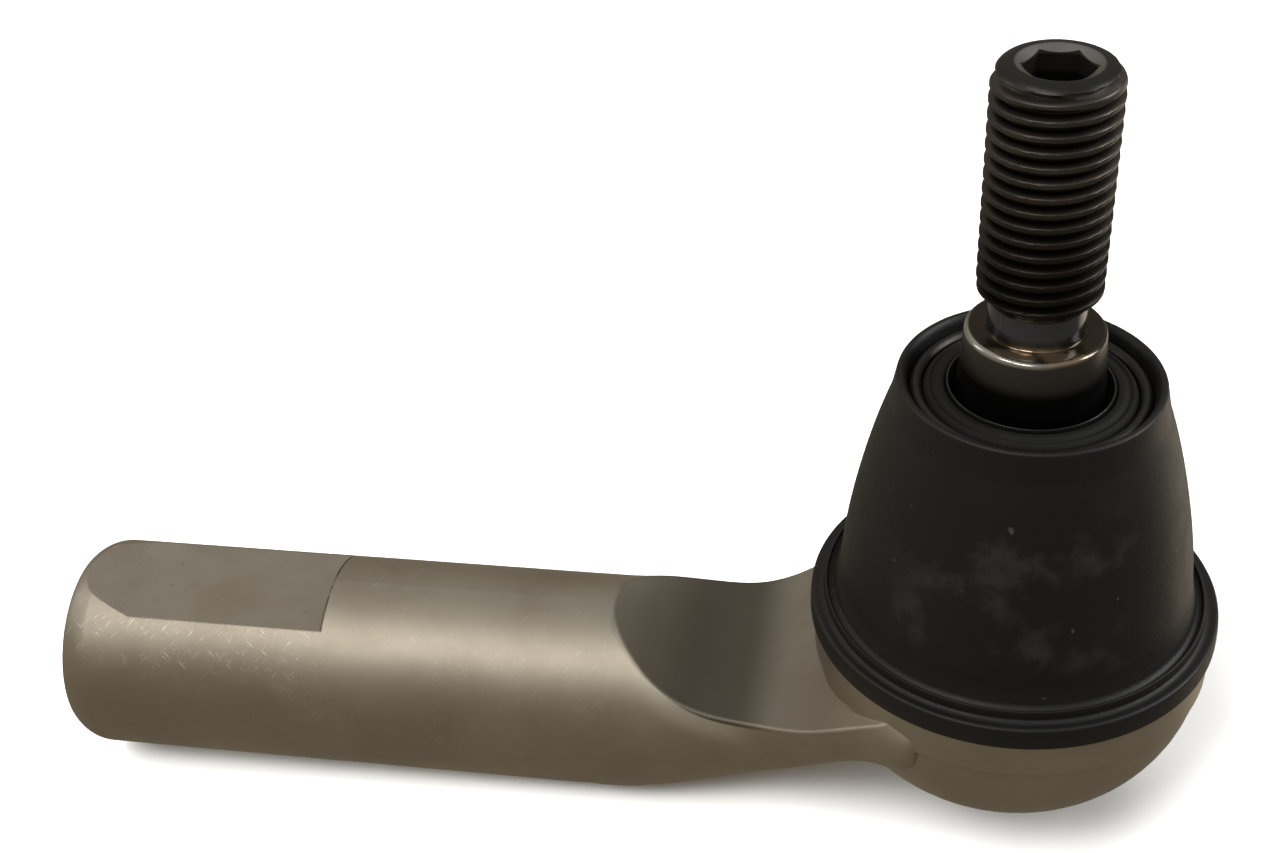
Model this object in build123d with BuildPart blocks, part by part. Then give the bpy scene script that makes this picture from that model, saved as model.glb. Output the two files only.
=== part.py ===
"""Outer tie rod end: forged housing, ball stud, two-piece seat, cover plate and dust boot.

The origin is the centre of the ball. The stud stands along +Z and the shaft runs along -X, with its
axis a little below the ball. Lengths are in millimetres.
"""

from build123d import *
from math import cos, radians, sin, sqrt, tan
import os

# --- Ball and its preload ---
ball_r = 10.0
ball_flat_cut = 0.6          # height cut off the foot of the ball
ball_clearance = 0.05        # running clearance all round the ball
seat_wall = 1.5              # of both seat halves, beside the ball
seat_gap = 0.15              # each half stops this far from the ball's widest plane
seat_lip_angle = 25.0        # latitude at which the upper seat lets go of the ball
seat_lip_depth = 2.25        # of the upper seat above that
seat_shoulder = 1.15         # width of the upper seat's flat top
fit_gap = 0.05               # loose fit of pressed and dropped-in pieces
cup_wall = 1.75              # of the lower seat, under the ball
spring_room = 1.0
spring_thick = 0.5
spring_inner_share = 0.4     # radii of the disc spring, as shares of the ball's
spring_outer_share = 0.7

# --- Cover plate at the bottom ---
plate_thick = 1.2
plate_step = 0.65            # the dish is this much narrower than the seat, and the rim wider
plate_rim_share = 0.54       # depth of the rim below the ball's centre, as a share of its radius
lip_overlap = 1.1            # how far the rolled edge of the housing covers the plate
lip_thick = 1.2

# --- Housing: eye ---
eye_top = 10.3
spigot_rise = 1.7            # raised neck that the boot's base fits over
spigot_wall = 2.8            # at its top, outside the flared mouth
mouth_flare = 2.3
eye_shelf = 5.2              # width of the flat top of the eye, outside the spigot
eye_wall_height = 4.0        # machined wall; the forged bowl begins below it
bowl_step = 0.3
bowl_belly = 2.1             # the bowl's middle lies this far inside the eye's wall
bowl_margin = 1.7            # metal round the cover plate's rim

# --- Housing: neck and shaft ---
shaft_r = 12.0
shaft_drop = 5.0             # the shaft's axis runs this far below the ball's centre
shaft_end = 106.4            # from the stud's axis to the end of the shaft
end_round_length = 3.0
end_round_drop = 1.4
flat_depth = 2.0             # of each wrench flat
flat_length = 30.8
flat_runout = 8.0            # length over which a flat climbs out towards the shaft's end
flat_tip_depth = 0.15        # left of its depth at the end
rod_thread_r = 7.0           # M14 x 1.5
rod_thread_margin = 10.4     # solid metal between the thread's end and the neck
rod_mouth = 1.2              # depth of the countersink
drill_point_angle = 59.0
neck_start = 44.0            # the round shaft becomes the neck here
scoop_offset = 1.0           # the scoop begins this far into the neck
scoop_depth = 9.0
scoop_fall = 33.0            # angle at which the scoop drops from the shaft
scoop_rise = 31.0            # angle at which the top of the neck climbs to the eye
scoop_r = 18.5
scoop_edge_r = 0.4           # rounding of the scoop's edges

# --- Dust boot and its rings ---
rest_gap = 0.05              # between the boot and what it rests on
flange_overhang = 0.5        # the flange is this much wider than the eye
flange_thick = 2.4
ridge_inset = 1.2            # thin moulded ridge on the flange
ridge_height = 1.2
cone_inset = 1.85            # from the ridge to the foot of the bell
cone_rise = 4.9
boot_wall = 2.0
boot_top = 40.3
rim_wall = 1.1               # of the boot's top rim
recess_width = 1.6           # from the rim to the cuff
recess_depth = 2.4
cuff_wall = 2.2
cuff_drop = 1.0              # the cuff stops this far below the boot's top
cuff_station = 3             # the cuff's foot is level with this station of the bell
slip_wall = 0.9
slip_clearance = 0.1
slip_lip = 0.17
slip_lip_drop = 0.75
slip_length = 5.95
clamp_wire_r = 0.72
base_ring_gap = 0.8          # from the spigot to the steel ring in the flange
base_ring_margin = 1.8       # rubber outside that ring
base_ring_rise = 0.9
base_ring_thick = 1.3

# --- Stud ---
thread_r = 6.0               # M12 x 1.5
shank_share = 0.56           # waist between the ball and the journal, as a share of the ball
shank_rise = 3.0             # the waist ends this far above the ball
journal_step = 0.47          # the journal is this much larger than the taper's small end
journal_drop = 0.7           # the journal ends this far below the boot's top
flare_drop = 7.0             # it begins this far below the cuff
taper_step = 0.73            # the taper's small end is this much larger than the thread
taper_length = 6.4
rim_round = 0.35
neck_depth = 1.3             # undercut between the taper seat and the thread
neck_fillet = 1.1
neck_length = 4.6
thread_lead = 1.1            # length of the bevel at the thread's lower end
thread_length = 22.8         # with the domed end
crown_drop = 1.8             # the stud's top is domed down by this much at its edge
socket_across_flats = 6.0
socket_depth = 7.0
socket_mouth_share = 0.68    # radius of the countersink over the width across the flats

# Bell of the boot: share of its height, share of the way from the rim's radius to the foot's.
bell_stations = [(0.24, 0.89), (0.41, 0.73), (0.57, 0.58), (0.74, 0.37), (0.90, 0.11)]

# Neck: share of the way from the stud to the shaft, share of the way from the shaft's half width to
# the eye's, half height over the shaft's radius, rise over the eye's height above the shaft's axis.
neck_stations = [
    (1.06, 0.0, 1.0, 0.0),
    (1.0, 0.0, 1.0, 0.0),
    (0.93, 0.0, 0.997, 0.008),
    (0.85, 0.0, 0.98, 0.045),
    (0.75, 0.0, 0.95, 0.111),
    (0.636, 0.01, 0.908, 0.203),
    (0.523, 0.16, 0.85, 0.333),
    (0.409, 0.38, 0.83, 0.53),
    (0.295, 0.63, 0.75, 0.66),
    (0.205, 0.76, 0.67, 0.72),
]

os.makedirs("parts", exist_ok=True)

# Sizes that follow from the ones above: ball, seat and cover plate.
ball_foot = ball_r - ball_flat_cut
seat_bore_r = ball_r + ball_clearance
seat_r = seat_bore_r + seat_wall
seat_mouth_r = seat_r - seat_shoulder
shoulder_z = seat_bore_r * sin(radians(seat_lip_angle)) + seat_lip_depth
cup_floor_r = seat_bore_r + cup_wall
dish_inner_r = cup_floor_r + spring_room
dish_outer_r = dish_inner_r + plate_thick
plate_wall_r = seat_r - plate_step
plate_rim_r = seat_r + plate_step
plate_rim_top = -plate_rim_share * ball_r
plate_rim_low = plate_rim_top - plate_thick
lip_inner_r = plate_rim_r - lip_overlap
lip_foot = plate_rim_low - lip_thick

# Housing.
pocket_r = seat_r + fit_gap
mouth_r = seat_mouth_r + mouth_flare
spigot_r = mouth_r + spigot_wall
spigot_top = eye_top + spigot_rise
eye_r = spigot_r + eye_shelf
wall_foot = eye_top - eye_wall_height
bowl_foot_r = plate_rim_r + bowl_margin
bowl_foot_z = plate_rim_low + 0.5
bowl_mid_r = eye_r - bowl_belly
bowl_mid_z = (wall_foot + bowl_foot_z) / 2 - 0.5
axis_z = -shaft_drop
end_face_r = shaft_r - end_round_drop
flat_end = shaft_end - flat_length
thread_foot = -neck_start - rod_thread_margin
scoop_start = neck_start - scoop_offset
scoop_low = shaft_r - scoop_depth

# Boot.
flange_r = eye_r + flange_overhang
flange_top = eye_top + flange_thick
ridge_r = flange_r - ridge_inset
ridge_top = flange_top + ridge_height
cone_foot_r = ridge_r - cone_inset
cone_foot_z = eye_top + cone_rise
bell_height = boot_top - 1.0 - cone_foot_z
base_ring_inner_r = spigot_r + base_ring_gap
base_ring_outer_r = flange_r - base_ring_margin
base_ring_low = eye_top + base_ring_rise

# Stud, and the boot's top round it.
taper_small_r = thread_r + taper_step
journal_r = taper_small_r + journal_step
shank_r = shank_share * ball_r
shank_top = ball_r + shank_rise
journal_top = boot_top - journal_drop
taper_top = journal_top + taper_length
neck_r = thread_r - neck_depth
thread_low = taper_top + neck_length
stud_top = thread_low + thread_length
crown_edge = stud_top - crown_drop
socket_mouth_r = socket_mouth_share * socket_across_flats
slip_inner_r = journal_r + slip_clearance
slip_outer_r = slip_inner_r + slip_wall
slip_lip_top = boot_top - slip_lip_drop
slip_foot = slip_lip_top - slip_length
cuff_r = slip_outer_r + cuff_wall
cuff_top = boot_top - cuff_drop
recess_r = cuff_r + recess_width
recess_floor = boot_top - recess_depth
shoulder_r = recess_r + rim_wall
bell = [
    (shoulder_r + share * (cone_foot_r - shoulder_r), cone_foot_z + height * bell_height)
    for height, share in bell_stations
]
cuff_foot = bell[cuff_station][1]
journal_low = cuff_foot - flare_drop


def on_sphere(radius, height):
    """Point (distance from the stud's axis, height) on a sphere round the ball's centre."""
    return (sqrt(radius**2 - height**2), height)


def under_sphere(radius, distance):
    """Point on the lower half of a sphere, this far from the stud's axis."""
    return (distance, -sqrt(radius**2 - distance**2))


def halfway(radius, start, end):
    """Point on a sphere round the ball's centre, halfway between two others on it."""
    x = start[0] + end[0]
    z = start[1] + end[1]
    length = sqrt(x * x + z * z)
    return (radius * x / length, radius * z / length)


# --- Ball stud: ball, waist, journal, taper seat, undercut and thread in one piece ---
waist_join = on_sphere(ball_r, sqrt(ball_r**2 - shank_r**2))
ball_flat = on_sphere(ball_r, -ball_foot)
with BuildPart() as ball_stud:
    with BuildSketch(Plane.XZ):
        with BuildLine():
            start = Line((0, -ball_foot), ball_flat)
            ball = ThreePointArc(start @ 1, (ball_r, 0), waist_join)
            waist = Line(ball @ 1, (shank_r, shank_top))
            flare = Line(waist @ 1, (journal_r, journal_low))
            journal = Line(flare @ 1, (journal_r, journal_top))
            taper = Line(journal @ 1, (taper_small_r, taper_top - rim_round))
            rim = Line(taper @ 1, (taper_small_r - rim_round, taper_top))
            ledge = Line(rim @ 1, (neck_r + neck_fillet, taper_top))
            root = RadiusArc(ledge @ 1, (neck_r, taper_top + neck_fillet), neck_fillet)
            neck = Line(root @ 1, (neck_r, thread_low - thread_lead))
            lead = Line(neck @ 1, (thread_r, thread_low))
            crest = Line(lead @ 1, (thread_r, crown_edge))
            dome = ThreePointArc(
                crest @ 1,
                ((thread_r + socket_mouth_r) / 2 + 0.25, stud_top - crown_drop * 0.3),
                (socket_mouth_r, stud_top),
            )
            Polyline(dome @ 1, (0, stud_top), (0, -ball_foot))
        make_face()
    revolve(axis=Axis.Z)
    with BuildSketch(Plane.XY.offset(stud_top)):
        RegularPolygon(socket_across_flats / 2, 6, major_radius=False)
    extrude(amount=-socket_depth, mode=Mode.SUBTRACT)
    mouth_depth = (socket_mouth_r - socket_across_flats / 2) * tan(radians(30))
    with BuildSketch(Plane.XZ):
        Polygon(
            (0, stud_top),
            (socket_mouth_r, stud_top),
            (socket_across_flats / 2, stud_top - mouth_depth),
            (0, stud_top - mouth_depth),
            align=None,
        )
    revolve(axis=Axis.Z, mode=Mode.SUBTRACT)

# --- Upper seat: plastic ring that bears on the ball above its widest plane ---
seat_start = on_sphere(seat_bore_r, seat_gap)
seat_lip = (
    seat_bore_r * cos(radians(seat_lip_angle)),
    seat_bore_r * sin(radians(seat_lip_angle)),
)
seat_top = shoulder_z - fit_gap
with BuildPart() as upper_seat:
    with BuildSketch(Plane.XZ):
        with BuildLine():
            bearing = ThreePointArc(seat_start, halfway(seat_bore_r, seat_start, seat_lip), seat_lip)
            Polyline(
                bearing @ 1,
                (seat_mouth_r, seat_top),
                (seat_r, seat_top),
                (seat_r, seat_gap),
                bearing @ 0,
            )
        make_face()
    revolve(axis=Axis.Z)

# --- Lower seat: plastic cup under the ball, pushed up by the spring ---
cup_start = on_sphere(seat_bore_r, -seat_gap)
cup_step_r = plate_wall_r - plate_thick - 2 * fit_gap
cup_step_z = plate_rim_top + 2 * fit_gap
cup_shoulder = under_sphere(cup_floor_r, cup_step_r)
cup_floor = (0, -cup_floor_r)
with BuildPart() as lower_seat:
    with BuildSketch(Plane.XZ):
        with BuildLine():
            inside = ThreePointArc(
                cup_start, halfway(seat_bore_r, cup_start, (0, -seat_bore_r)), (0, -seat_bore_r)
            )
            Line(inside @ 1, cup_floor)
            outside = ThreePointArc(
                cup_floor, halfway(cup_floor_r, cup_floor, cup_shoulder), cup_shoulder
            )
            Polyline(
                outside @ 1,
                (cup_step_r, cup_step_z),
                (seat_r, cup_step_z),
                (seat_r, -seat_gap),
                cup_start,
            )
        make_face()
    revolve(axis=Axis.Z)

# --- Disc spring: a cone-shaped washer between the lower seat and the cover plate ---
spring_path_r = cup_floor_r + spring_room / 2
spring_inner = under_sphere(spring_path_r, spring_inner_share * ball_r)
spring_outer = under_sphere(spring_path_r, spring_outer_share * ball_r)
along = (Vector(*spring_outer) - Vector(*spring_inner)).normalized()
half_thick = Vector(-along.Y, along.X) * spring_thick / 2
with BuildPart() as disc_spring:
    with BuildSketch(Plane.XZ):
        Polygon(
            Vector(*spring_inner) + half_thick,
            Vector(*spring_outer) + half_thick,
            Vector(*spring_outer) - half_thick,
            Vector(*spring_inner) - half_thick,
            align=None,
        )
    revolve(axis=Axis.Z)

# --- Cover plate: dished steel disc that closes the bottom of the housing ---
dish_out = under_sphere(dish_outer_r, plate_wall_r)
dish_in = under_sphere(dish_inner_r, plate_wall_r - plate_thick)
with BuildPart() as cover_plate:
    with BuildSketch(Plane.XZ):
        with BuildLine():
            belly = ThreePointArc(
                (0, -dish_outer_r), halfway(dish_outer_r, (0, -dish_outer_r), dish_out), dish_out
            )
            Polyline(
                belly @ 1,
                (plate_wall_r, plate_rim_low),
                (plate_rim_r, plate_rim_low),
                (plate_rim_r, plate_rim_top),
                (plate_wall_r - plate_thick, plate_rim_top),
                dish_in,
            )
            inner = ThreePointArc(
                dish_in, halfway(dish_inner_r, dish_in, (0, -dish_inner_r)), (0, -dish_inner_r)
            )
            Line(inner @ 1, belly @ 0)
        make_face()
    revolve(axis=Axis.Z)

# --- Housing: forged shaft, scooped neck and eye, bored for the ball and for the tie rod ---
with BuildPart() as housing:
    # The shaft is turned about its own axis, with a rounded end.
    with BuildSketch(Plane.XZ):
        with BuildLine():
            end_face = Line((-shaft_end, axis_z), (-shaft_end, axis_z + end_face_r))
            round_mid = (
                -shaft_end + end_round_length * 0.42,
                axis_z + shaft_r - end_round_drop * 0.33,
            )
            rounding = ThreePointArc(
                end_face @ 1, round_mid, (-shaft_end + end_round_length, axis_z + shaft_r)
            )
            Polyline(
                rounding @ 1,
                (-neck_start, axis_z + shaft_r),
                (-neck_start, axis_z),
                (-shaft_end, axis_z),
            )
        make_face()
    revolve(axis=Axis((0, 0, axis_z), (1, 0, 0)))
    # The neck is lofted through ellipses that widen and climb towards the eye.
    for distance, spread, tall, rise in neck_stations:
        centre = (-distance * neck_start, 0, axis_z + rise * (eye_top + shaft_drop))
        with BuildSketch(Plane(origin=centre, x_dir=(0, 1, 0), z_dir=(1, 0, 0))):
            Ellipse(shaft_r + spread * (eye_r - shaft_r), shaft_r * tall)
    loft()
    # A cutter run across the neck leaves the scoop and the slope up to the eye.
    fall = tan(radians(scoop_fall))
    meet_x = -scoop_start + (shaft_r - scoop_low) / fall
    meet_z = axis_z + scoop_low
    high_z = axis_z + 2 * shaft_r
    with BuildSketch(Plane.XZ):
        with BuildLine():
            floor_line = FilletPolyline(
                (-scoop_start - shaft_r / fall, high_z),
                (meet_x, meet_z),
                (0, meet_z - meet_x * tan(radians(scoop_rise))),
                radius=scoop_r,
            )
            Polyline(floor_line @ 1, (0, 2 * eye_r), (-scoop_start, 2 * eye_r), floor_line @ 0)
        make_face()
    extrude(amount=2 * eye_r, both=True, mode=Mode.SUBTRACT)
    scoop_edges = housing.edges(Select.LAST).filter_by(
        lambda edge: edge.bounding_box().size.X > 0.5 and edge.center().X < -eye_r / 2
    )
    fillet(scoop_edges, radius=scoop_edge_r)
    # The eye is a machined wall over a forged bowl.
    with BuildSketch(Plane.XZ):
        with BuildLine():
            wall = Polyline(
                (0, eye_top),
                (eye_r, eye_top),
                (eye_r, wall_foot),
                (eye_r - bowl_step, wall_foot - bowl_step),
            )
            bowl = ThreePointArc(wall @ 1, (bowl_mid_r, bowl_mid_z), (bowl_foot_r, bowl_foot_z))
            Polyline(
                bowl @ 1,
                (lip_inner_r + lip_thick, lip_foot + lip_thick / 3),
                (lip_inner_r + lip_thick / 2, lip_foot),
                (0, lip_foot),
                (0, eye_top),
            )
        make_face()
    revolve(axis=Axis.Z)
    # Spigot for the boot's base, with the pocket, the mouth and the plate's seat cut through.
    with BuildSketch(Plane.XY.offset(eye_top)):
        Circle(spigot_r)
    extrude(amount=spigot_top - eye_top)
    with BuildSketch(Plane.XZ):
        Polygon(
            (0, lip_foot - 1),
            (lip_inner_r, lip_foot - 1),
            (lip_inner_r, plate_rim_low),
            (plate_rim_r + fit_gap, plate_rim_low),
            (plate_rim_r + fit_gap, plate_rim_top),
            (pocket_r, plate_rim_top),
            (pocket_r, shoulder_z),
            (seat_mouth_r, shoulder_z),
            (mouth_r, spigot_top + 0.01),
            (0, spigot_top + 0.01),
            align=None,
        )
    revolve(axis=Axis.Z, mode=Mode.SUBTRACT)
    # Wrench flats, above and below the shaft.
    for side in (1, -1):
        with BuildSketch(Plane.XZ):
            Polygon(
                (-flat_end, axis_z + side * (shaft_r - flat_depth)),
                (flat_runout - shaft_end, axis_z + side * (shaft_r - flat_depth)),
                (-shaft_end, axis_z + side * (shaft_r - flat_tip_depth)),
                (-shaft_end - 1, axis_z + side * (shaft_r - flat_tip_depth)),
                (-shaft_end - 1, axis_z + side * 2 * shaft_r),
                (-flat_end, axis_z + side * 2 * shaft_r),
                align=None,
            )
        extrude(amount=shaft_r, both=True, mode=Mode.SUBTRACT)
    # Threaded hole for the tie rod, with a countersunk mouth and a drill point.
    point_length = rod_thread_r / tan(radians(drill_point_angle))
    with BuildSketch(Plane.XZ):
        Polygon(
            (-shaft_end - 1, axis_z),
            (-shaft_end - 1, axis_z + rod_thread_r + rod_mouth + 1),
            (-shaft_end + rod_mouth, axis_z + rod_thread_r),
            (thread_foot, axis_z + rod_thread_r),
            (thread_foot + point_length, axis_z),
            align=None,
        )
    revolve(axis=Axis((0, 0, axis_z), (1, 0, 0)), mode=Mode.SUBTRACT)

# --- Base ring: steel ring that stiffens the boot's flange ---
with BuildPart() as boot_base_ring:
    with BuildSketch(Plane.XY.offset(base_ring_low)):
        Circle(base_ring_outer_r)
        Circle(base_ring_inner_r, mode=Mode.SUBTRACT)
    extrude(amount=base_ring_thick)

# --- Dust boot: rubber flange, bell-shaped wall and recessed top ---
boot_foot = eye_top + rest_gap
spigot_bore = spigot_r + rest_gap
outer_wall = [(cone_foot_r, cone_foot_z)] + bell
inner_wall = [(r - boot_wall, z) for r, z in outer_wall[: cuff_station + 2]]
with BuildPart() as dust_boot:
    with BuildSketch(Plane.XZ):
        with BuildLine():
            flange = Polyline(
                (spigot_bore, boot_foot),
                (flange_r - 0.3, boot_foot),
                (flange_r, boot_foot + 0.3),
                (flange_r, flange_top - 0.7),
                (flange_r - 0.6, flange_top),
                (ridge_r + 0.2, flange_top + 0.3),
                (ridge_r, ridge_top),
                (ridge_r - 0.5, ridge_top),
                (cone_foot_r + 0.5, cone_foot_z - 0.7),
                (cone_foot_r, cone_foot_z),
            )
            wall_out = Spline(*outer_wall, (shoulder_r, boot_top - 1.0))
            crown = Polyline(
                wall_out @ 1,
                (shoulder_r - 0.4, boot_top - 0.2),
                (shoulder_r - 0.8, boot_top),
                (recess_r, boot_top - 0.3),
                (recess_r, recess_floor),
                (cuff_r, recess_floor),
                (cuff_r, cuff_top - 0.3),
                (cuff_r - 0.3, cuff_top),
                (slip_outer_r + rest_gap, cuff_top),
                (slip_outer_r + rest_gap, cuff_foot),
                (inner_wall[-1][0], cuff_foot),
            )
            wall_in = Spline(*reversed(inner_wall))
            Polyline(
                wall_in @ 1,
                (inner_wall[0][0], spigot_top + 1.2),
                (spigot_bore, spigot_top + 0.6),
                (spigot_bore, boot_foot),
            )
        make_face()
    revolve(axis=Axis.Z)
    # Groove that the steel base ring is moulded into.
    with BuildSketch(Plane.XY.offset(base_ring_low - rest_gap)):
        Circle(base_ring_outer_r + rest_gap)
        Circle(base_ring_inner_r - rest_gap, mode=Mode.SUBTRACT)
    extrude(amount=base_ring_thick + 2 * rest_gap, mode=Mode.SUBTRACT)

# --- Slip ring: plastic sleeve inside the cuff, which the stud's journal turns in ---
with BuildPart() as slip_ring:
    with BuildSketch(Plane.XZ):
        Polygon(
            (slip_inner_r, slip_foot),
            (slip_outer_r, slip_foot),
            (slip_outer_r, slip_lip_top - 0.3),
            (slip_outer_r - 0.1, slip_lip_top),
            (slip_outer_r - slip_lip, slip_lip_top),
            (slip_inner_r, slip_lip_top - 2.0),
            align=None,
        )
    revolve(axis=Axis.Z)

# --- Clamp ring: round wire that keeps the cuff tight ---
clamp_r = cuff_r + rest_gap + clamp_wire_r
clamp_z = recess_floor + rest_gap + clamp_wire_r
with BuildPart() as boot_clamp_ring:
    with BuildSketch(Plane.XZ):
        with Locations((clamp_r, clamp_z)):
            Circle(clamp_wire_r)
    revolve(axis=Axis.Z)

pieces = {
    "housing": housing,
    "ball_stud": ball_stud,
    "upper_seat": upper_seat,
    "lower_seat": lower_seat,
    "disc_spring": disc_spring,
    "cover_plate": cover_plate,
    "boot_base_ring": boot_base_ring,
    "dust_boot": dust_boot,
    "slip_ring": slip_ring,
    "boot_clamp_ring": boot_clamp_ring,
}
for name, piece in pieces.items():
    piece.part.label = name
    export_step(piece.part, f"parts/{name}.step")
    print(name, "volume", round(piece.part.volume), "solids", len(piece.part.solids()))
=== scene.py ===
"""Studio picture of an outer tie rod end: forged housing, threaded ball stud and rubber boot.

Lengths are written in millimetres and turned into metres where a mesh is made. Everything is in
the CAD frame: the ball's centre is the origin, the stud is +Z and the shaft runs along -X. The
housing, the seats, the spring and the base ring keep their CAD meshes. Every other piece is a
surface of numpy arrays.
"""

from math import cos, pi, radians, sin, tan

import bpy
import numpy as np
from mathutils import Euler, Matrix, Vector


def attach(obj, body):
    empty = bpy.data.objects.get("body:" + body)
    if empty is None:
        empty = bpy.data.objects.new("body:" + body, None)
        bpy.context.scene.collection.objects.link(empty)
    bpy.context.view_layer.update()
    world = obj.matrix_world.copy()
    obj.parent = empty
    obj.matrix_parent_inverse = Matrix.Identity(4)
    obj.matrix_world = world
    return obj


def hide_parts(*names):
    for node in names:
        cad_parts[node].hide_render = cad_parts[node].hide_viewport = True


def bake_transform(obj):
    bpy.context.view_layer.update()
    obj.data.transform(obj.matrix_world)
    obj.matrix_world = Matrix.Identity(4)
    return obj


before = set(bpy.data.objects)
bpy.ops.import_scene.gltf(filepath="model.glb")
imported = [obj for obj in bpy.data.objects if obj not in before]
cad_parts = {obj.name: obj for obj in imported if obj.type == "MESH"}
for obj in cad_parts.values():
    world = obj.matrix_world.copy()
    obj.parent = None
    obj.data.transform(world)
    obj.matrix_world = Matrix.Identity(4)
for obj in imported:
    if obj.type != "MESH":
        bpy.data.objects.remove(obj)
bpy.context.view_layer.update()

MM = 0.001
AROUND = 192                 # facets round a turned piece

# --- Stud ---
BALL_R, BALL_FOOT = 10.0, 9.4
SHANK_R, SHANK_TOP = 5.6, 13.0
JOURNAL_R, JOURNAL_LOW, JOURNAL_TOP = 7.2, 26.0, 39.6
TAPER_R, TAPER_TOP = 6.73, 46.0
NECK_R = 4.7
THREAD_R, THREAD_LOW, THREAD_PITCH = 6.0, 50.6, 1.5
THREAD_DEPTH = 0.62 * THREAD_PITCH
RINGS_TO_A_PITCH = 26
CROWN_EDGE, STUD_TOP = 71.6, 73.4
MOUTH_R, SOCKET_FLATS, SOCKET_DEPTH = 4.08, 6.0, 7.0

# --- Boot ---
FLANGE_R, FLANGE_FOOT = 21.2, 10.35
SPIGOT_R = 15.55
BOOT_SPLIT = 23.5            # skirt below, sleeve above
WALL_OUT = [(18.05, 16.6), (17.6, 21.0), (17.15, BOOT_SPLIT), (16.75, 25.6), (16.05, 29.0),
            (14.95, 33.0), (13.75, 36.8)]    # radius and height of the bell's outside
WALL = 2.0
BOOT_TOP = 40.3
CUFF_BORE_R, CUFF_FOOT = 8.25, 33.0

# --- Cover ---
DISH_OUT_R, DISH_IN_R = 14.0, 12.8           # of the spheres that its two faces follow
DISH_OUT_RIM, DISH_IN_RIM = 10.9, 9.7        # distance from the axis where each face ends

# --- Housing ---
SHAFT_AXIS = -5.0            # height of the shaft's axis
SHAFT_R, SHAFT_END = 12.0, -106.4
FLAT_END = -75.6
FLAT_HEIGHT = 10.0           # of the wrench flats, from the shaft's axis
NECK_START = -44.0
SCOOP_START, SCOOP_FALL = -43.0, -0.649      # place along the shaft and slope of its near side
SCOOP_LOW, SCOOP_LOW_HEIGHT = -29.1, 2.98    # a point on its far side, from the shaft's axis
SCOOP_CLIMB, SCOOP_ROUNDING = 0.6, 19.8      # slope of the far side, and how softly the two join
ROD_THREAD_R, ROD_THREAD_LENGTH = 7.0, 52.0
ROD_THREAD_PITCH, ROD_THREAD_DEPTH = 1.5, 0.8


# ---------------------------------------------------------------------------
# Surfaces
# ---------------------------------------------------------------------------

def softened(corners, steps=6):
    """Profile with its corners rounded.

    Each row of corners is (radius, height, reach). A corner P between unit runs a and b becomes
    P + t (s^2 b - (1 - s)^2 a) for s from 0 to 1, where t is the reach, at most half of either run.
    """
    corners = np.asarray(corners, float)
    point, reach = corners[:, :2], corners[:, 2]
    run = np.diff(point, axis=0)
    length = np.linalg.norm(run, axis=1)
    way = run / length[:, None]
    t = np.minimum(reach[1:-1], 0.5 * np.minimum(length[:-1], length[1:]))[:, None, None]
    s = np.linspace(0, 1, steps)[None, :, None]
    bend = point[1:-1, None] + t * (s**2 * way[1:, None] - (1 - s) ** 2 * way[:-1, None])
    return np.vstack([point[:1], bend.reshape(-1, 2), point[-1:]])


def skin(name, rows, wrapped=False, sharp=40):
    """Mesh over rows of points (rows, round, 3) in millimetres, each row closed on itself.

    With wrapped the last row joins the first. Without it a first or last row that has shrunk to
    the axis becomes one pole. Faces turn their fronts outwards when the rows of the outer side
    climb along +Z.
    """
    count, around, _ = rows.shape
    index = np.arange(count * around).reshape(count, around)
    here = index if wrapped else index[:-1]
    above = np.roll(index, -1, 0) if wrapped else index[1:]
    quads = np.stack([here, np.roll(here, -1, 1), np.roll(above, -1, 1), above], -1).reshape(-1, 4)
    mesh = bpy.data.meshes.new(name)
    mesh.from_pydata((rows.reshape(-1, 3) * MM).tolist(), [], quads.tolist())
    piece = bpy.data.objects.new(name, mesh)
    bpy.context.scene.collection.objects.link(piece)
    weld = piece.modifiers.new("weld", "WELD")
    weld.merge_threshold = 1e-6
    mesh.shade_smooth()
    mesh.set_sharp_from_angle(angle=radians(sharp))
    return piece


def turned(radius, height, around=AROUND):
    """Points (r cos a, r sin a, z) of a shape turned about the stud's axis.

    Radius and height have a row for each ring, and either one column or one for each angle a.
    """
    angle = np.linspace(0, 2 * pi, around, endpoint=False)
    return np.stack([radius * np.cos(angle), radius * np.sin(angle), height + 0 * angle], -1)


def loop(name, corners):
    """Ring whose cross-section is the closed, softened outline through corners."""
    corners = np.asarray(corners, float)
    seam = (corners[-1:] + corners[:1]) / 2
    outline = softened(np.vstack([seam, corners, seam]))[:-1]
    return skin(name, turned(outline[:, :1], outline[:, 1:]), wrapped=True)


# ---------------------------------------------------------------------------
# Stud: one skin from the foot of the ball to the bottom of the socket
# ---------------------------------------------------------------------------

def thread_radius(angle, along, outer, pitch, depth):
    """Radius of a screw thread: the crest less a rounded groove.

    The groove's phase is along / pitch - angle / turn, and off is the distance from its middle, 0
    at the root and 1 at the crest. The depth falls off as a smooth step from the root, which is
    narrow and flat, to the crest, which is broad and rounded.
    """
    phase = (along / pitch - angle / (2 * pi)) % 1
    off = np.abs(phase - 0.5) * 2
    flank = np.clip((off - 0.10) / 0.68, 0, 1)
    rise = flank - np.sin(2 * pi * flank) / (2 * pi) * 0.55
    crest = 0.05 * np.cos(np.clip((off - 0.78) / 0.22, 0, 1) * pi / 2)
    return outer - depth * (1 - rise) - depth * crest * (off > 0.78)


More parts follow.
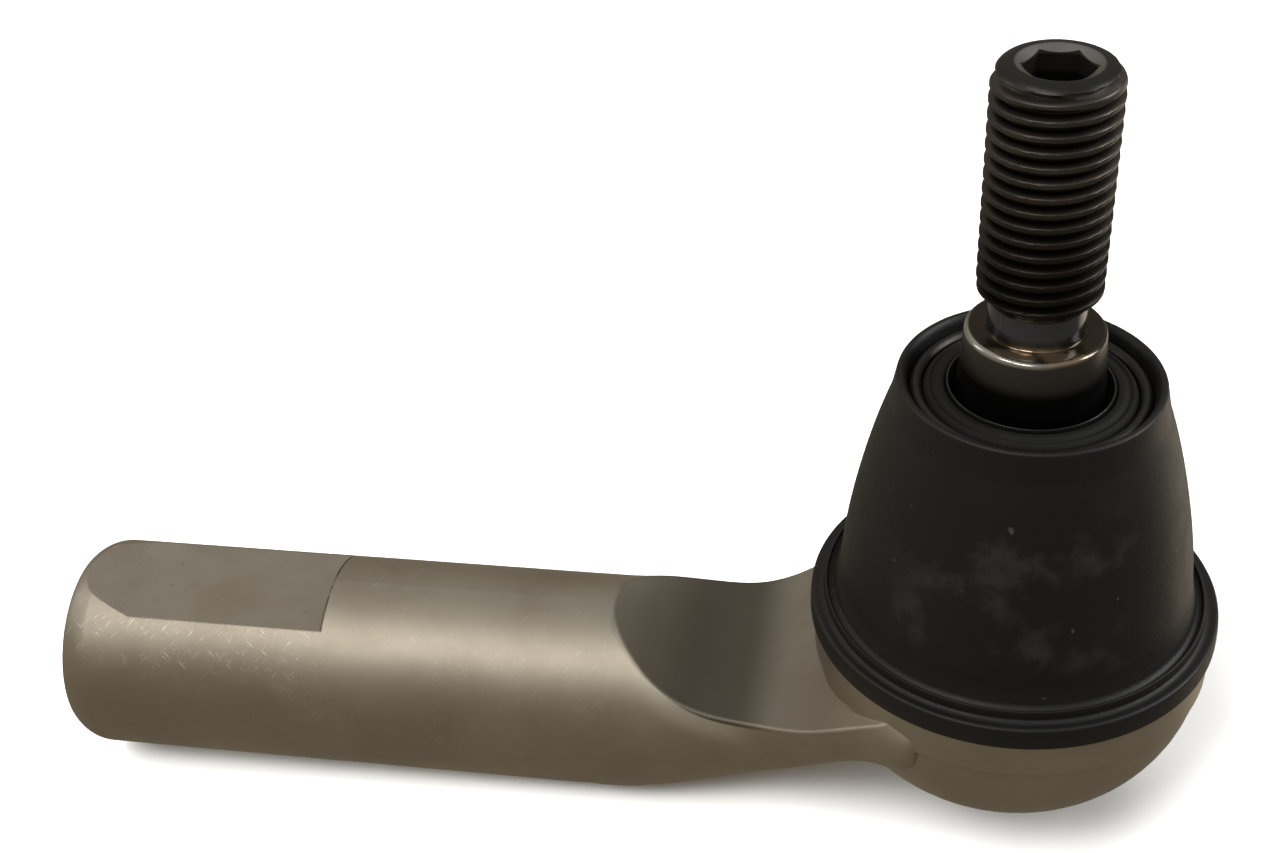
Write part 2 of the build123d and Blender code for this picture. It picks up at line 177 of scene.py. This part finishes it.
def stud_rows():
    """Radius and height of every ring of the stud, before the thread and the socket are cut.

    The ball is (R cos t, R sin t). Above it the turned steps are a softened outline, and the
    thread's length is divided evenly into rings.
    """
    foot = -np.arcsin(BALL_FOOT / BALL_R)
    waist = np.arccos(SHANK_R / BALL_R)
    sweep = np.linspace(foot, waist, 40)
    ball = np.stack([BALL_R * np.cos(sweep), BALL_R * np.sin(sweep)], 1)
    steps = softened(
        [
            (*ball[-1], 0.0),
            (SHANK_R, ball[-1, 1] + 1.5, 0.7),
            (SHANK_R, SHANK_TOP, 3.0),
            (JOURNAL_R, JOURNAL_LOW, 3.0),
            (JOURNAL_R, JOURNAL_TOP, 0.6),
            (TAPER_R + 0.03, TAPER_TOP - 0.25, 0.25),
            (TAPER_R - 0.42, TAPER_TOP, 0.35),
            (NECK_R, TAPER_TOP, 0.55),
            (NECK_R, THREAD_LOW - 1.2, 0.35),
            (THREAD_R, THREAD_LOW, 0.2),
            (THREAD_R, THREAD_LOW + 0.3, 0.0),
        ],
        9,
    )
    rings = int((CROWN_EDGE - THREAD_LOW) / THREAD_PITCH * RINGS_TO_A_PITCH)
    climb = np.linspace(THREAD_LOW + 0.36, CROWN_EDGE - 0.5, rings)
    bolt = np.stack([0 * climb + THREAD_R, climb], 1)
    crown = softened(
        [
            (THREAD_R, CROWN_EDGE - 0.45, 0.0),
            (THREAD_R - 0.05, CROWN_EDGE + 0.3, 0.9),
            (THREAD_R - 0.75, STUD_TOP - 0.3, 1.0),
            (MOUTH_R, STUD_TOP, 0.22),
            (MOUTH_R - 0.45, STUD_TOP - 0.26, 0.0),
        ],
        10,
    )
    foot_cap = [(0.0, -BALL_FOOT), (ball[0, 0] - 0.1, -BALL_FOOT)]
    return np.vstack([foot_cap, ball, steps[1:], bolt, crown])


def make_stud():
    """The stud's rings, with a thread cut where they pass it and a hexagon socket in the top.

    The socket's wall is half its flats / cos(angle from the nearest flat's middle), and it starts
    on a cone that falls 30 degrees inwards from the mouth.
    """
    around = 150             # a multiple of six, so that the hexagon's corners are kept
    angle = np.linspace(0, 2 * pi, around, endpoint=False)
    outline = stud_rows()
    radius = outline[:, :1] + 0 * angle
    height = outline[:, 1:] + 0 * angle
    screw = thread_radius(angle, height, THREAD_R, THREAD_PITCH, THREAD_DEPTH)
    radius = np.where(height > THREAD_LOW - 1.2, np.minimum(radius, screw), radius)
    hexagon = SOCKET_FLATS / 2 / np.cos((angle % (pi / 3)) - pi / 6)
    floor = STUD_TOP - SOCKET_DEPTH
    cone = STUD_TOP - (MOUTH_R - hexagon) * tan(radians(30))
    well = [(1, cone), (1, cone - 0.12), (1, floor + 0.1), (0.98, floor), (0.5, floor - 0.5),
            (0, floor - 0.9)]
    well_r = [share * hexagon for share, _ in well]
    well_z = [level + 0 * angle for _, level in well]
    rows = turned(np.vstack([radius, *well_r]), np.vstack([height, *well_z]), around)
    return skin("threaded_stud", rows, sharp=48)


# ---------------------------------------------------------------------------
# Boot, rings and cover
# ---------------------------------------------------------------------------

def boot_wall(low, high):
    """Corners up the bell's outside between two heights: a curve of degree 4 fitted to WALL_OUT."""
    radius, height = np.array(WALL_OUT).T
    curve = np.polynomial.Polynomial.fit(height, radius, 4)
    climb = np.linspace(low, high, 16)
    return np.stack([curve(climb), climb, 0 * climb + 0.4], 1)


def make_skirt():
    """Flange with its rounded bead, groove and thin ridge, sweeping up into the wall."""
    wall = boot_wall(18.0, BOOT_SPLIT)
    inner = wall[::-1] - np.array([WALL, 0, 0])
    corners = [
        (SPIGOT_R, FLANGE_FOOT, 0.15),
        (FLANGE_R - 0.02, FLANGE_FOOT, 0.35),
        (FLANGE_R, 11.7, 0.5),
        (FLANGE_R - 0.12, 12.95, 0.65),
        (20.2, 12.86, 0.3),
        (19.78, 13.1, 0.15),
        (19.68, 14.05, 0.1),
        (19.42, 14.05, 0.1),
        (19.3, 13.6, 0.2),
        (18.75, 13.95, 1.0),
        (18.2, 15.4, 1.2),
        *wall[:-1],
        (*wall[-1, :2], 0.0),
        (*inner[0, :2], 0.0),
        *inner[1:],
        (16.1, 14.6, 1.0),
        (SPIGOT_R, 13.2, 0.4),
    ]
    return loop("boot_skirt", corners)


def make_sleeve():
    """Upper wall, rolled rim, the recess round the stud and the cuff that stands in it."""
    wall = boot_wall(BOOT_SPLIT, 37.2)
    inner = wall[::-1][3:] - np.array([WALL, 0, 0])
    corners = [
        (*wall[0, :2], 0.0),
        *wall[1:],
        (13.2, 39.2, 0.7),
        (13.0, BOOT_TOP - 0.1, 0.5),
        (12.45, BOOT_TOP, 0.3),
        (12.0, 39.7, 0.3),
        (11.9, 38.0, 0.3),
        (11.5, 37.75, 0.2),
        (10.5, 37.75, 0.2),
        (10.35, 38.8, 0.25),
        (9.9, 39.3, 0.3),
        (9.45, 38.95, 0.3),
        (9.1, 39.35, 0.25),
        (8.45, 39.3, 0.15),
        (CUFF_BORE_R, 39.0, 0.15),
        (CUFF_BORE_R, CUFF_FOOT, 0.2),
        (10.4, CUFF_FOOT, 0.8),
        *inner[:-1],
        (*inner[-1, :2], 0.0),
    ]
    return loop("boot_sleeve", corners)


def make_slip_ring():
    """Thin plastic sleeve with a flared lip."""
    return loop("slip_bush", [
        (7.3, 33.6, 0.1), (8.2, 33.6, 0.1), (8.2, 39.3, 0.1), (8.16, 39.55, 0.08),
        (7.98, 39.55, 0.08), (7.3, 37.5, 0.4),
    ])


def make_clamp():
    """Round wire: a square outline softened until it is almost a circle."""
    outline = [(11.17, 37.98), (11.89, 38.7), (11.17, 39.42), (10.45, 38.7)]
    return loop("clamp_wire", [(r, z, 0.6) for r, z in outline])


def make_cover():
    """Dished plate: two spherical caps (R sin t, -R cos t) and a flat rim between them."""
    outer = np.linspace(0, np.arcsin(DISH_OUT_RIM / DISH_OUT_R), 26)
    inner = np.linspace(np.arcsin(DISH_IN_RIM / DISH_IN_R), 0, 26)
    rim = softened([(10.92, -8.7, 0), (11.0, -6.75, 0.3), (11.4, -6.6, 0.2), (12.1, -6.6, 0.1),
                    (12.2, -6.5, 0.1), (12.2, -5.4, 0.1), (9.75, -5.4, 0.2),
                    (DISH_IN_RIM, -8.3, 0.3)], 5)
    rows = np.vstack([
        np.stack([DISH_OUT_R * np.sin(outer), -DISH_OUT_R * np.cos(outer)], 1),
        rim,
        np.stack([DISH_IN_R * np.sin(inner), -DISH_IN_R * np.cos(inner)], 1),
    ])
    return skin("cover_dish", turned(rows[:, :1], rows[:, 1:], 144))


def make_rod_thread():
    """Internal thread of the shaft: a thin sleeve whose bore is a screw surface about the shaft.

    The ridges grow to their full height over run_in, and the sleeve's back is a plain cylinder.
    """
    around, rings, run_in = 96, 430, 2.0
    angle = np.linspace(0, 2 * pi, around, endpoint=False)
    climb = np.linspace(SHAFT_END + 1.3, SHAFT_END + ROD_THREAD_LENGTH - 0.2, rings)[:, None]
    ramp = np.clip((climb - climb[0]) / run_in, 0, 1)
    ridged = thread_radius(angle, climb, ROD_THREAD_R, ROD_THREAD_PITCH, ROD_THREAD_DEPTH)
    bore = ROD_THREAD_R - (ROD_THREAD_R - ridged) * ramp
    back = np.full((2, around), ROD_THREAD_R + 0.04)
    radius = np.vstack([bore, back])
    place = np.vstack([climb, climb[-1:], climb[:1]]) + 0 * angle
    rows = np.stack([place, radius * np.cos(angle), SHAFT_AXIS + radius * np.sin(angle)], -1)
    return skin("rod_thread_helix", rows[::-1], wrapped=True, sharp=60)


# ---------------------------------------------------------------------------
# Finishes
# ---------------------------------------------------------------------------

class Wire:
    """An output socket. Arithmetic on it adds Math nodes to its tree."""

    def __init__(self, nodes, socket):
        self.nodes, self.socket = nodes, socket

    def math(self, operation, first, second):
        return self.nodes.node("Math", {"operation": operation}, {0: first, 1: second})

    def __add__(self, other):
        return self.math("ADD", self, other)

    def __mul__(self, other):
        return self.math("MULTIPLY", self, other)

    def __sub__(self, other):
        return self.math("SUBTRACT", self, other)

    def __rsub__(self, other):
        return self.math("SUBTRACT", other, self)

    __radd__, __rmul__ = __add__, __mul__


class Nodes:
    """A node tree, of a material or of the room's light."""

    def __init__(self, tree):
        self.tree = tree

    def node(self, kind, settings=None, sockets=None, out=0):
        """Adds any node: its settings first, then the values or links of its sockets."""
        made = self.tree.nodes.new("ShaderNode" + kind)
        for name, value in (settings or {}).items():
            setattr(made, name, value)
        for name, value in (sockets or {}).items():
            self.join(made.inputs[name], value)
        return Wire(self, made.outputs[out])

    def join(self, socket, value):
        if isinstance(value, Wire):
            self.tree.links.new(value.socket, socket)
        else:
            socket.default_value = value

    def band(self, value, low, high):
        """0 below low, 1 above high and smooth between them."""
        return self.node("MapRange", {"interpolation_type": "SMOOTHSTEP"},
                         {"Value": value, "From Min": low, "From Max": high})

    def mix(self, share, first, second):
        """Colour between first and second."""
        return self.node("Mix", {"data_type": "RGBA"}, {0: share, 6: first, 7: second}, out=2)


class Finish(Nodes):
    """A material. Sizes in its patterns are millimetres, read from Object coordinates."""

    def __init__(self, name, **constants):
        self.material = bpy.data.materials.new(name)
        self.material.use_nodes = True
        super().__init__(self.material.node_tree)
        self.shader = self.tree.nodes["Principled BSDF"]
        for socket, value in constants.items():
            self.shader.inputs[socket.replace("_", " ")].default_value = value
        self.place = self.node("TexCoord", out="Object")
        self.x, self.y, self.z = (
            self.node("SeparateXYZ", {}, {0: self.place}, out=axis) * 1000 for axis in "XYZ"
        )

    def reach(self):
        """Distance from the stud's axis."""
        return self.node("Math", {"operation": "SQRT"}, {0: self.x * self.x + self.y * self.y})

    def noise(self, grain, detail=3.0, rough=0.55, where=None, stretch=(1, 1, 1)):
        """Soft noise from 0 to 1 whose features are about grain millimetres across."""
        scale = tuple(1000 / grain / s for s in stretch)
        spot = self.node("VectorMath", {"operation": "MULTIPLY"}, {0: where or self.place, 1: scale})
        return self.node("TexNoise", {}, {"Vector": spot, "Scale": 1.0, "Detail": detail,
                                          "Roughness": rough})

    def finish(self, colour, roughness, height=None, depth=0.1, edge=0.0):
        """Links the colour, the roughness and a bump of the given depth over edges rounded by edge."""
        self.join(self.shader.inputs["Base Color"], colour)
        self.join(self.shader.inputs["Roughness"], roughness)
        if height is not None:
            sockets = {"Height": height, "Distance": depth * MM}
            if edge:
                sockets["Normal"] = self.node("Bevel", {"samples": 4}, {"Radius": edge * MM})
            self.join(self.shader.inputs["Normal"], self.node("Bump", {}, sockets))
        return self.material


def tone(red, green, blue):
    return (red, green, blue, 1.0)


def tangled_scratches(f, unrolled):
    """Two sets of fine scratches that cross each other on the unrolled shaft."""
    def scratches(turn):
        where = f.node("Mapping", {}, {"Vector": unrolled, "Rotation": (0, 0, radians(turn))})
        return f.noise(0.22, 2.0, 0.5, where, (1, 9, 1))

    return f.band(scratches(35), 0.60, 0.72) + f.band(scratches(-50), 0.62, 0.74)


def flat_step(f, above):
    """Mask of a thin painted shadow along the low wall where the upper wrench flat ends."""
    near = f.band(f.x, FLAT_END - 0.12, FLAT_END) * (1 - f.band(f.x, FLAT_END + 0.12, FLAT_END + 0.3))
    return near * f.band(above, FLAT_HEIGHT - 0.05, FLAT_HEIGHT + 0.05)


def scoop_painted_light(f, above):
    """Masks of painted shade in the scoop, deepest in its valley, and of a painted highlight along its
    rounded near edge.

    The scoop's surface is two sloping lines, seen from the side, joined by a smooth maximum.
    """
    falling = (f.x - SCOOP_START) * SCOOP_FALL + SHAFT_R
    rising = (f.x - SCOOP_LOW) * SCOOP_CLIMB + SCOOP_LOW_HEIGHT
    surface = f.node("Math", {"operation": "SMOOTH_MAX"}, {0: falling, 1: rising, 2: SCOOP_ROUNDING})
    over = above - surface
    along = f.band(f.x, SCOOP_START - 0.2, SCOOP_START + 0.2) * (1 - f.band(f.x, -19.0, -15.0))
    valley = f.band(f.x, SCOOP_START, -33.0) * (1 - f.band(f.x, -28.5, -23.0))
    # Painted shade: the scoop is darkened, most in its valley, for the shade and dark reflection that
    # fall there.
    dark = f.band(over, -0.7, -0.35) * along * (0.2 + valley * 0.6)
    # Painted highlight: a lighter band along the scoop's rounded near edge.
    edge_painted_highlight = f.band(over, -3.6, -0.9) * (1 - f.band(over, -0.6, -0.4)) * f.band(0 - f.y, 4.0, 7.0)
    edge_painted_highlight = edge_painted_highlight * f.band(f.x, -41.0, -36.0) * (1 - f.band(f.x, -31.0, -25.0))
    return dark, edge_painted_highlight * 0.6


def forged_aluminium():
    """Satin aluminium: warm stains, turning lines round the shaft, scratches that are also painted
    lighter as glints in the lit band of the shaft, pits, a painted shadow at the step of the upper
    flat, and painted shade in the scoop with a painted highlight along its near edge.
    """
    f = Finish("forged_aluminium", Metallic=1.0)
    above = f.z - SHAFT_AXIS
    angle = f.node("Math", {"operation": "ARCTAN2"}, {0: f.y, 1: above})
    unrolled = f.node("CombineXYZ", {}, {0: f.x * MM, 1: angle * (SHAFT_R * MM), 2: 0.0})
    lines = f.noise(0.16, 2.0, 0.6, unrolled, (1, 40, 1))
    tangle = tangled_scratches(f, unrolled)
    patch = f.noise(9.0, 3.0)
    stain = f.noise(16.0, 4.0, 0.6)
    grain = f.noise(0.5, 4.0, 0.7)
    pits = f.band(f.noise(1.1, 2.0, 0.5), 0.765, 0.80)
    shaft = 1 - f.band(f.x, NECK_START, NECK_START + 3)
    over_flat = 1 - f.band(f.x, FLAT_END - 0.1, FLAT_END + 0.1)
    flat = f.band(above, FLAT_HEIGHT - 0.08, FLAT_HEIGHT - 0.02) * over_flat
    flat = flat * (1 - f.band(above, FLAT_HEIGHT + 0.02, FLAT_HEIGHT + 0.1))
    # Scratches are worn in random patches. They are also painted lighter as glints in a belt along the
    # shaft's lit band.
    lit_band_glint = f.band(angle, -1.25, -0.85) * (1 - f.band(angle, -0.62, -0.5)) * over_flat
    wear_and_glint = (f.band(patch, 0.42, 0.62) * 0.5 + lit_band_glint) * shaft * (1 - flat)
    # Painted shadow: a thin dark line along the step wall at the end of the upper flat.
    step_painted_shadow = flat_step(f, above) * f.band(f.noise(1.6, 2.0), 0.3, 0.5) * 0.8
    scoop, edge_painted_highlight = scoop_painted_light(f, above)
    colour = f.mix(f.band(stain, 0.35, 0.65), tone(0.43, 0.38, 0.31), tone(0.50, 0.455, 0.375))
    # Painted shade in the scoop.
    colour = f.mix(scoop, colour, tone(0.10, 0.09, 0.07))
    # Painted highlight along the scoop's near edge.
    colour = f.mix(edge_painted_highlight, colour, tone(0.85, 0.80, 0.72))
    # Lighter scratches: real wear, and painted glints in the lit band.
    colour = f.mix(tangle * wear_and_glint * 0.55, colour, tone(0.78, 0.74, 0.66))
    colour = f.mix(step_painted_shadow, colour, tone(0.06, 0.05, 0.035))
    colour = f.mix(pits * 0.8, colour, tone(0.05, 0.045, 0.035))
    rough = 0.41 + patch * 0.10 + grain * 0.06
    height = grain * 0.25 + lines * shaft * 0.5 + tangle * wear_and_glint * 0.5 - pits
    return f.finish(colour, rough, height, 0.012, edge=0.25)


def moulded_rubber():
    """Black rubber: slight sheen, dusty smears in front, tiny light specks and painted shade in the
    recess round the stud.
    """
    f = Finish("moulded_rubber", Specular_IOR_Level=0.5)
    cloud = f.noise(7.0, 5.0, 0.6)
    front = f.band(0 - f.y, 8.0, 17.0)
    middle = f.band(f.z, 15.0, 20.0) * (1 - f.band(f.z, 30.0, 36.0))
    dust = f.band(cloud, 0.50, 0.68) * front * middle
    speck = f.band(f.noise(1.6, 1.0), 0.765, 0.80)
    grain = f.noise(0.35, 3.0, 0.6)
    # Painted shade: the recess inside the boot's rim is made almost black.
    recess = (1 - f.band(f.reach(), 11.9, 12.3)) * f.band(f.z, 36.0, 37.0)
    colour = f.mix(dust * 0.75, tone(0.0045, 0.0042, 0.0045), tone(0.045, 0.043, 0.045))
    colour = f.mix(speck * 0.6, colour, tone(0.12, 0.12, 0.11))
    colour = f.mix(recess * 0.8, colour, tone(0.001, 0.001, 0.001))
    rough = 0.42 + f.noise(3.0, 4.0) * 0.16 + dust * 0.25 + recess * 0.25
    return f.finish(colour, rough, grain + cloud * 1.5, 0.03)


def phosphate(f, reach, soot):
    """Colour of the thread: brown-grey crests, painted shade in the grooves, darker towards its foot.
    """
    brown = f.band(f.noise(5.0, 3.0), 0.4, 0.6)
    colour = f.mix(brown, tone(0.070, 0.063, 0.055), tone(0.095, 0.083, 0.070))
    colour = f.mix(f.band(soot, 0.62, 0.8), colour, tone(0.13, 0.12, 0.11))
    # Painted shade: the grooves between the crests are made near-black.
    crest = f.band(reach, THREAD_R - 0.8, THREAD_R - 0.25)
    colour = f.mix(crest, tone(0.016, 0.014, 0.012), colour)
    return f.mix(f.band(f.z, 50.0, 69.0), tone(0.020, 0.017, 0.014), colour)


def stud_steel():
    """Phosphated thread with painted shade in its grooves, blue-black neck, brown-tinted ledge with
    painted golden highlights, a painted highlight on the rim and inside the socket's mouth, and a satin
    taper made near-black lower down as painted shade and reflection of the boot.
    """
    f = Finish("stud_steel", Metallic=0.85)
    reach = f.reach()
    soot = f.noise(1.2, 4.0, 0.6)
    # Painted shade and reflection of the black boot: below this band the taper is made near-black.
    satin = f.band(f.z, 41.9, 43.2)
    ledge = f.band(f.z, TAPER_TOP - 0.5, TAPER_TOP - 0.2)
    neck = f.band(f.z, TAPER_TOP + 0.25, TAPER_TOP + 0.8)
    thread = f.band(f.z, THREAD_LOW - 1.0, THREAD_LOW - 0.6)
    collar = f.band(f.z, CROWN_EDGE - 0.9, CROWN_EDGE - 0.4)
    dome = f.band(f.z, CROWN_EDGE + 0.7, STUD_TOP - 0.4)
    # Painted highlight: a light ring just inside the socket's mouth stands for the bright spot on its
    # inner rim.
    mouth = f.band(f.z, STUD_TOP - 0.9, STUD_TOP - 0.6) * (1 - f.band(reach, MOUTH_R - 0.3, MOUTH_R))
    # Painted highlight: the taper's rim is made bright, most on the side towards the lamps (front and
    # left).
    painted_light_side = f.band(0 - f.x * 1.2 - f.y, 3.5, 8.0) * 0.85 + 0.1
    rim = f.band(reach, TAPER_R - 0.45, TAPER_R - 0.2) * ledge * (1 - thread) * painted_light_side
    rim = rim + f.band(f.z, TAPER_TOP - 0.7, TAPER_TOP - 0.35) * (1 - ledge) * painted_light_side
    # Painted highlight: golden spots on the front of the ledge stand for the lamps' reflections in its
    # concave curve.
    ledge_painted_highlight = f.band(0 - f.y, 3.9, 5.0) * f.band(f.noise(2.5, 2.0), 0.25, 0.45)
    ledge_tint_and_highlight = f.mix(ledge_painted_highlight, tone(0.040, 0.030, 0.018), tone(0.34, 0.25, 0.16))
    # Near-black below the band is painted shade and reflection of the boot.
    colour = f.mix(satin, tone(0.010, 0.009, 0.010), tone(0.085, 0.080, 0.075))
    colour = f.mix(ledge, colour, ledge_tint_and_highlight)
    # Painted highlight on the rim.
    colour = f.mix(rim, colour, tone(0.52, 0.50, 0.47))
    colour = f.mix(neck, colour, tone(0.10, 0.112, 0.132))
    colour = f.mix(thread, colour, phosphate(f, reach, soot))
    colour = f.mix(collar, colour, tone(0.085, 0.077, 0.069))
    colour = f.mix(dome, colour, tone(0.038, 0.037, 0.035))
    # Painted highlight inside the socket's mouth.
    colour = f.mix(mouth * 0.8, colour, tone(0.30, 0.29, 0.28))
    rough = 0.34 - ledge * 0.18 + thread * 0.22 + soot * 0.08 - satin * 0.04
    drawn = f.noise(0.12, 2.0, 0.5, None, (30, 30, 1))
    height = soot * thread + drawn * (1 - thread) * 0.25
    return f.finish(colour, rough, height, 0.02)


def plain_plastic():
    """Ivory bearing plastic with faint flow marks."""
    f = Finish("seat_plastic")
    cloud = f.noise(4.0, 4.0)
    colour = f.mix(cloud, tone(0.62, 0.58, 0.47), tone(0.74, 0.71, 0.60))
    return f.finish(colour, 0.35 + cloud * 0.2, cloud, 0.02)


def slip_plastic():
    """Black slippery plastic, finely turned."""
    f = Finish("slip_plastic")
    cloud = f.noise(2.0, 3.0)
    colour = f.mix(cloud, tone(0.010, 0.010, 0.011), tone(0.016, 0.016, 0.017))
    return f.finish(colour, 0.22 + cloud * 0.12, f.noise(0.2, 2.0), 0.01)


def spring_steel():
    """Blued spring steel."""
    f = Finish("spring_steel", Metallic=1.0)
    cloud = f.noise(3.0, 4.0)
    colour = f.mix(cloud, tone(0.10, 0.12, 0.16), tone(0.20, 0.19, 0.18))
    return f.finish(colour, 0.28 + cloud * 0.15, f.noise(0.3), 0.01)


def pressed_steel():
    """Zinc-coloured pressed steel with a faint drawn grain and dull patches."""
    f = Finish("pressed_steel", Metallic=1.0)
    cloud = f.noise(5.0, 5.0)
    grain = f.noise(0.4, 3.0, 0.6)
    colour = f.mix(f.band(cloud, 0.35, 0.7), tone(0.42, 0.41, 0.38), tone(0.30, 0.28, 0.24))
    return f.finish(colour, 0.34 + cloud * 0.2, grain, 0.015)


def wire_black():
    """Black coated wire."""
    f = Finish("wire_black", Metallic=0.4)
    cloud = f.noise(1.5, 4.0)
    colour = f.mix(cloud, tone(0.014, 0.013, 0.013), tone(0.035, 0.032, 0.030))
    return f.finish(colour, 0.3 + cloud * 0.15, cloud, 0.02)


def floor_finish():
    """Matt pale floor with an even, very faint mottle."""
    f = Finish("pale_floor")
    colour = f.mix(f.noise(60.0, 3.0), tone(0.86, 0.86, 0.86), tone(0.90, 0.90, 0.90))
    return f.finish(colour, 0.9)


# ---------------------------------------------------------------------------
# Assembly
# ---------------------------------------------------------------------------

aluminium = forged_aluminium()
rubber = moulded_rubber()
steel = stud_steel()

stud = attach(make_stud(), "stud")
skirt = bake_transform(make_skirt())
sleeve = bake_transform(make_sleeve())
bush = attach(make_slip_ring(), "boot_crown")
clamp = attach(make_clamp(), "boot_crown")
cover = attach(make_cover(), "housing")
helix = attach(make_rod_thread(), "housing")

for piece, node, slot, material in (
    (stud, "ball_stud", "stud_steel", steel),
    (skirt, "dust_boot", "boot_rubber", rubber),
    (sleeve, "dust_boot", "boot_rubber", rubber),
    (bush, "slip_ring", "slip_plastic", slip_plastic()),
    (clamp, "boot_clamp_ring", "ring_steel", wire_black()),
    (cover, "cover_plate", "cover_steel", pressed_steel()),
    (helix, None, "forged_aluminium", aluminium),
):
    if node:
        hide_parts(node)
    piece.data.materials.append(material)

for node, material in {
    "housing": aluminium,
    "upper_seat": plain_plastic(),
    "lower_seat": plain_plastic(),
    "disc_spring": spring_steel(),
    "boot_base_ring": wire_black(),
}.items():
    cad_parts[node].data.materials.clear()
    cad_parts[node].data.materials.append(material)

# ---------------------------------------------------------------------------
# Floor, light and camera
# ---------------------------------------------------------------------------

FLOOR_TILT = radians(-2.27)  # the part rests on its dished cover and on the bottom of the shaft
FLOOR_DROP = 14.0            # of the floor below the ball's centre
FLOOR_HALF = 4000


def make_floor():
    """Plane whose upward normal is (sin t, 0, cos t). It catches light but gives none back."""
    normal = np.array([sin(FLOOR_TILT), 0, cos(FLOOR_TILT)])
    across = np.array([cos(FLOOR_TILT), 0, -sin(FLOOR_TILT)])
    corner = np.array([(-1, -1), (1, -1), (1, 1), (-1, 1)]) * FLOOR_HALF
    points = corner[:, :1] * across + corner[:, 1:] * np.array([0, 1, 0]) - normal * FLOOR_DROP
    mesh = bpy.data.meshes.new("pale_floor")
    mesh.from_pydata((points * MM).tolist(), [], [(0, 1, 2, 3)])
    floor = bpy.data.objects.new("pale_floor", mesh)
    bpy.context.scene.collection.objects.link(floor)
    floor.data.materials.append(floor_finish())
    floor.visible_glossy = False
    floor.visible_diffuse = False
    return floor


def panel(name, azimuth, elevation, distance, size, power, colour=(1, 1, 1)):
    """Soft rectangular light aimed at the middle of the part. Azimuth 0 is in front, at -Y.

    The distance and the two sides of its size are metres, and its power is watts.
    """
    a, e = radians(azimuth), radians(elevation)
    middle = Vector((-0.035, 0, 0.015))
    away = Vector((sin(a) * cos(e), -cos(a) * cos(e), sin(e)))
    data = bpy.data.lights.new(name, "AREA")
    data.shape = "RECTANGLE"
    data.size, data.size_y = size
    data.energy = power
    data.color = colour
    light = bpy.data.objects.new(name, data)
    light.location = middle + away * distance
    light.rotation_euler = away.to_track_quat("Z", "Y").to_euler()
    bpy.context.scene.collection.objects.link(light)
    return light


floor = make_floor()
panel("key", -18, 55, 0.9, (0.30, 0.22), 1.22, (1.0, 0.97, 0.92))
panel("second", -60, 60, 0.9, (0.20, 0.20), 0.8, (1.0, 0.97, 0.93))
panel("window_right", 100, 30, 0.9, (0.25, 0.5), 3.2, (0.97, 0.98, 1.0))
panel("window_left", -100, 22, 0.9, (0.2, 0.5), 0.6, (0.92, 0.96, 1.0))
washed = bpy.data.collections.new("washed")
washed.objects.link(floor)
for wash in (
    panel("floor_wash", -42, 52, 1.2, (0.75, 0.75), 21.0),
    panel("floor_wash_back", 165, 58, 1.2, (0.8, 0.8), 8.5),
):
    wash.light_linking.receiver_collection = washed


def make_world():
    """Room that is dim and warm below, lighter upwards and to the left, with a pale patch low down.

    The light comes from the direction (x, y, z). Its colour changes with z and its strength with x,
    and the patch grows with the cosine of the angle to its own direction.
    """
    world = bpy.data.worlds.new("studio")
    world.use_nodes = True
    background = world.node_tree.nodes["Background"]
    room = Nodes(world.node_tree)
    way = room.node("TexCoord", out="Generated")
    right = room.node("SeparateXYZ", {}, {0: way}, out="X")
    up = room.node("SeparateXYZ", {}, {0: way}, out="Z")
    side = room.node("MapRange", {}, {"Value": right, "From Min": -1.0, "To Min": 1.25, "To Max": 0.75})
    near_patch = room.node("VectorMath", {"operation": "DOT_PRODUCT"},
                           {0: way, 1: (0.689, 0.626, -0.365)}, out="Value")
    patch = room.band(near_patch, 0.90, 0.985) * 4.5
    colour = room.mix(room.band(up, 0.22, 0.75), tone(0.215, 0.187, 0.143), tone(0.42, 0.41, 0.39))
    room.join(background.inputs["Color"], colour)
    room.join(background.inputs["Strength"], side + patch)
    bpy.context.scene.world = world


make_world()

bpy.context.scene.view_settings.view_transform = "Standard"

CAMERA_PLACE = Vector((-8.26, -153.41, 144.71)) * MM
CAMERA_TURN = Euler((radians(54.007), radians(2.708), radians(9.380)))
camera = bpy.data.cameras.new("camera")
camera.lens, camera.sensor_width = 52.585, 36.0
camera.clip_start, camera.clip_end = 0.005, 20.0
viewer = bpy.data.objects.new("camera", camera)
viewer.location, viewer.rotation_euler = CAMERA_PLACE, CAMERA_TURN
bpy.context.scene.collection.objects.link(viewer)
bpy.context.scene.camera = viewer
